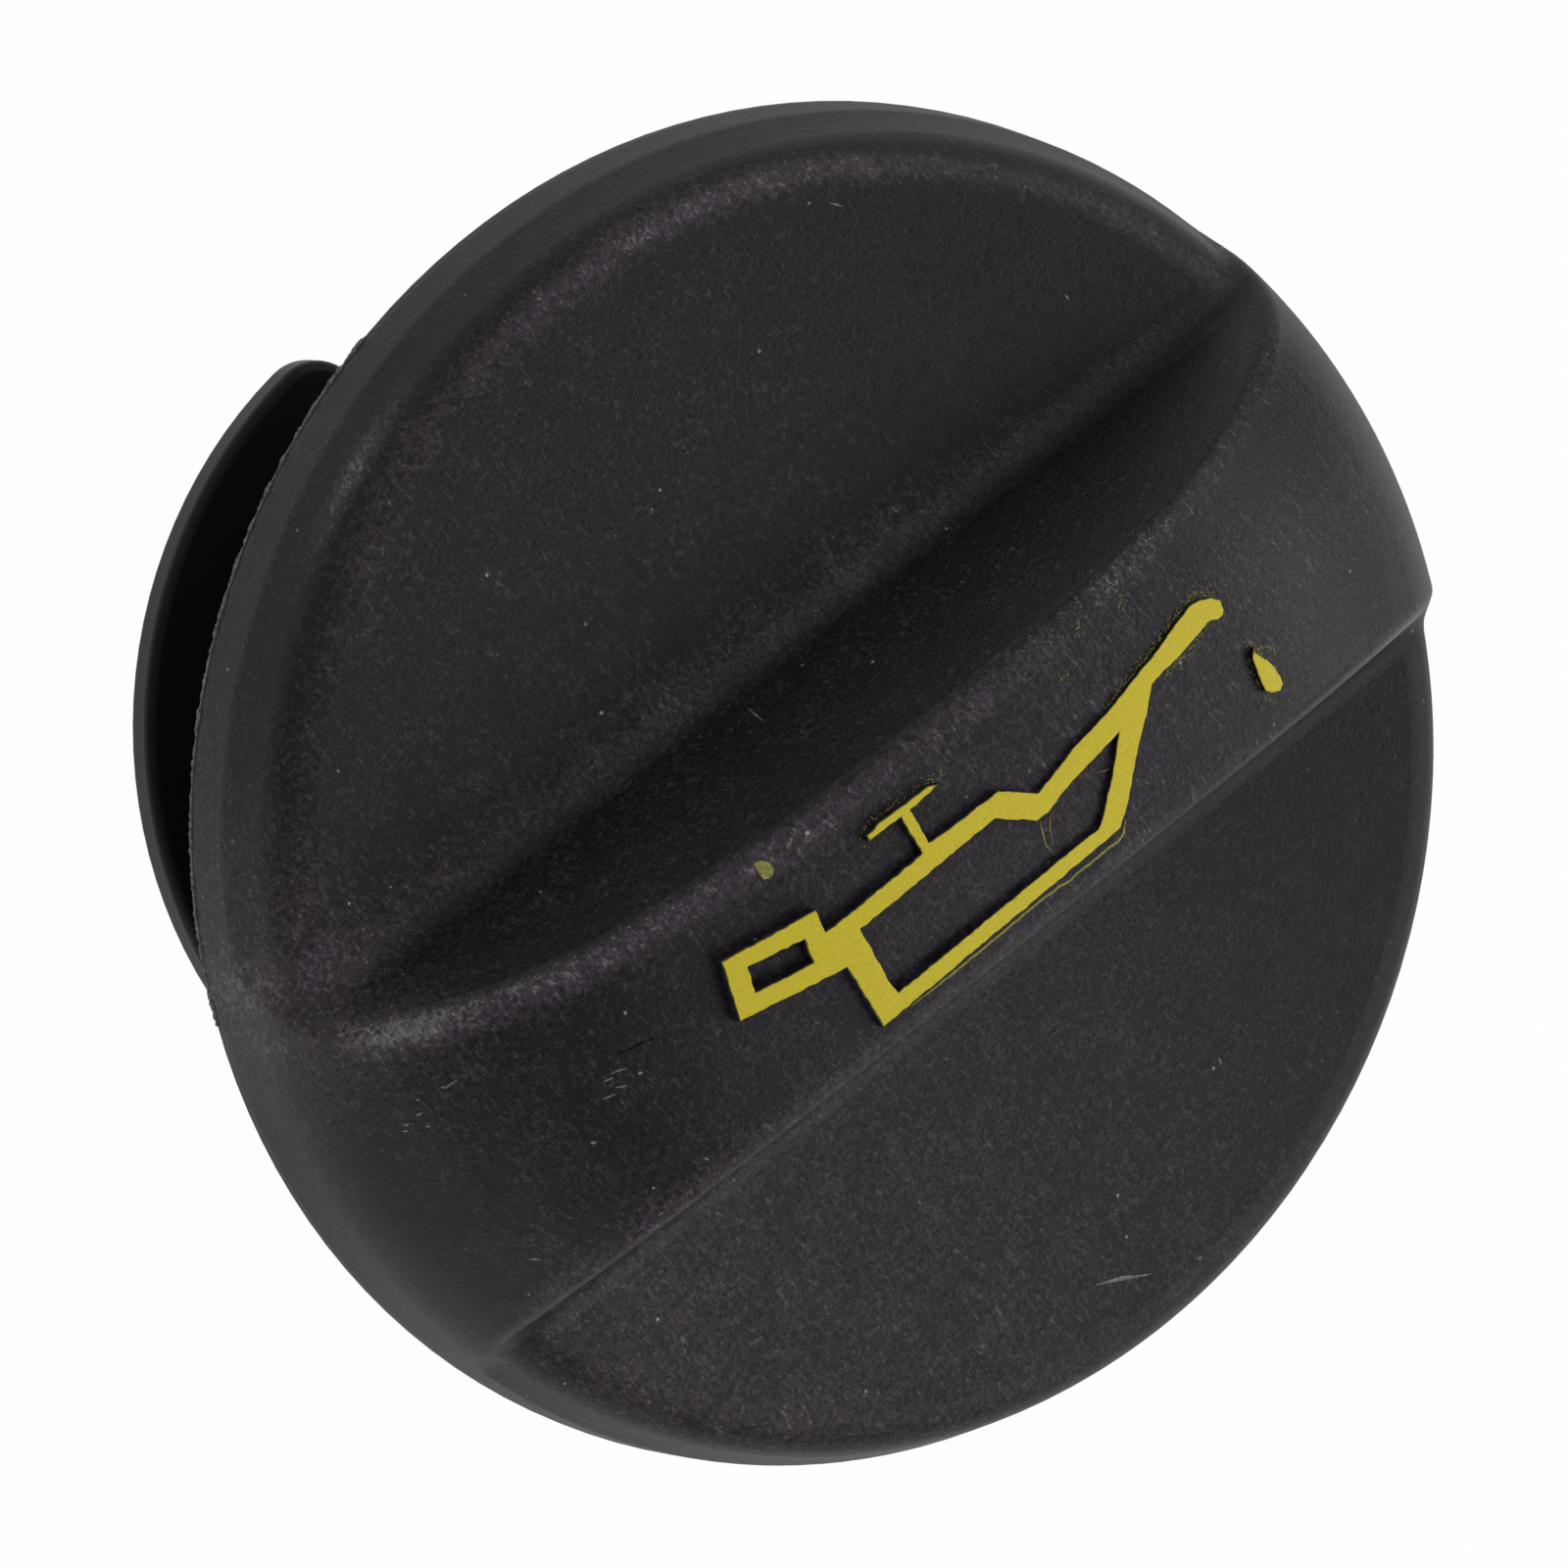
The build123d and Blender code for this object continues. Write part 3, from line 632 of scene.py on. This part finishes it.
# Floor
# A wide white card, which shows nearly white in the picture and in what the plastic mirrors.
# A small share of its own shading keeps a faint shadow of the cap.
FLOOR_HALF = 3.0
GLOW_SHARE = 0.98
corners = [(x * FLOOR_HALF, y * FLOOR_HALF, 0) for x, y in ((-1, -1), (1, -1), (1, 1), (-1, 1))]
floor_mesh = bpy.data.meshes.new("floor")
floor_mesh.from_pydata(corners, [], [(0, 1, 2, 3)])
floor = bpy.data.objects.new("floor", floor_mesh)
bpy.context.scene.collection.objects.link(floor)
card = bpy.data.materials.new("white_card")
card.use_nodes = True
tree = card.node_tree
paper = tree.nodes["Principled BSDF"]
paper.inputs["Base Color"].default_value = linear("#ebebeb")
paper.inputs["Roughness"].default_value = 0.9
ray = add(tree, "ShaderNodeLightPath").outputs
seen = ray["Is Camera Ray"]
for other in ("Is Glossy Ray", "Is Transmission Ray"):
    seen = add(tree, "ShaderNodeMath", [(0, seen), (1, ray[other])], operation="MAXIMUM").outputs[0]
seen = add(tree, "ShaderNodeMath", [(0, seen), (1, GLOW_SHARE)], operation="MULTIPLY").outputs[0]
glow = add(tree, "ShaderNodeEmission", [("Color", (1, 1, 1, 1)), ("Strength", 1.0)])
both = add(tree, "ShaderNodeMixShader", [(0, seen), (1, paper.outputs[0]), (2, glow.outputs[0])])
tree.links.new(both.outputs[0], tree.nodes["Material Output"].inputs["Surface"])
floor_mesh.materials.append(card)

# Camera
# It looks down at the knob from half a metre, turned so that the grip bar climbs to the upper right.
# The knob's rim shows at about 20 pixels a millimetre, a little off the picture's middle.
AZIMUTH, ELEVATION, ROLL = math.radians(130.68), math.radians(60.56), math.radians(-105.06)
DISTANCE = 500 * MM
SENSOR_WIDTH = 36
FRAME_PIXELS, PIXELS_PER_MM = 1600, 19.959
AIM_LEFT, AIM_UP = 1.463 * MM, 0.070 * MM
back = Vector((math.cos(ELEVATION) * math.cos(AZIMUTH), math.cos(ELEVATION) * math.sin(AZIMUTH),
               math.sin(ELEVATION)))
level_up = (Vector((0, 0, 1)) - back * back.z).normalized()
level_right = level_up.cross(back)
up = math.cos(ROLL) * level_up + math.sin(ROLL) * level_right
right = up.cross(back)
aim = Vector((0, 0, rim_z)) - right * AIM_LEFT + up * AIM_UP
camera = bpy.data.objects.new("camera", bpy.data.cameras.new("camera"))
camera.data.sensor_width = SENSOR_WIDTH
camera.data.lens = SENSOR_WIDTH * PIXELS_PER_MM * DISTANCE / MM / FRAME_PIXELS
camera.data.clip_end = 20
turned = Matrix((right, up, back)).transposed().to_4x4()
camera.matrix_world = Matrix.Translation(aim + back * DISTANCE) @ turned
bpy.context.scene.collection.objects.link(camera)
bpy.context.scene.camera = camera

# Light
# Square softboxes stand around the cap, placed by their angle around the view and their lift towards it.
# A dim white world fills the shadows.
LAMP_SIZE, LAMP_DISTANCE = 0.4, 0.9
WORLD_STRENGTH = 0.24
LAMPS = (("right", 0, 0, 1.55), ("right_upper", 30, 25, 1.31), ("right_lower", 330, 25, 0.83),
         ("upper_right", 60, 25, 0.90), ("lower_right", 330, 0, 0.78), ("lower_left", 240, 25, 0.78),
         ("lower", 270, 25, 0.67), ("low", 270, 0, 0.33), ("upper_left", 120, 50, 0.42),
         ("front_right", 0, 75, 0.39), ("front", 90, 75, 0.18))
for name, around, lift, power in LAMPS:
    around, lift = math.radians(around), math.radians(lift)
    towards = math.cos(lift) * (math.cos(around) * right + math.sin(around) * up) + math.sin(lift) * back
    lamp = bpy.data.lights.new(name, "AREA")
    lamp.shape = "SQUARE"
    lamp.size = LAMP_SIZE
    lamp.energy = power
    softbox = bpy.data.objects.new(name, lamp)
    softbox.location = aim + towards * LAMP_DISTANCE
    softbox.rotation_euler = towards.to_track_quat("Z", "Y").to_euler()
    bpy.context.scene.collection.objects.link(softbox)
world = bpy.data.worlds.new("studio")
world.use_nodes = True
sky = world.node_tree.nodes["Background"]
sky.inputs["Color"].default_value = (1, 1, 1, 1)
sky.inputs["Strength"].default_value = WORLD_STRENGTH
bpy.context.scene.world = world

bpy.context.scene.view_settings.view_transform = "Standard"
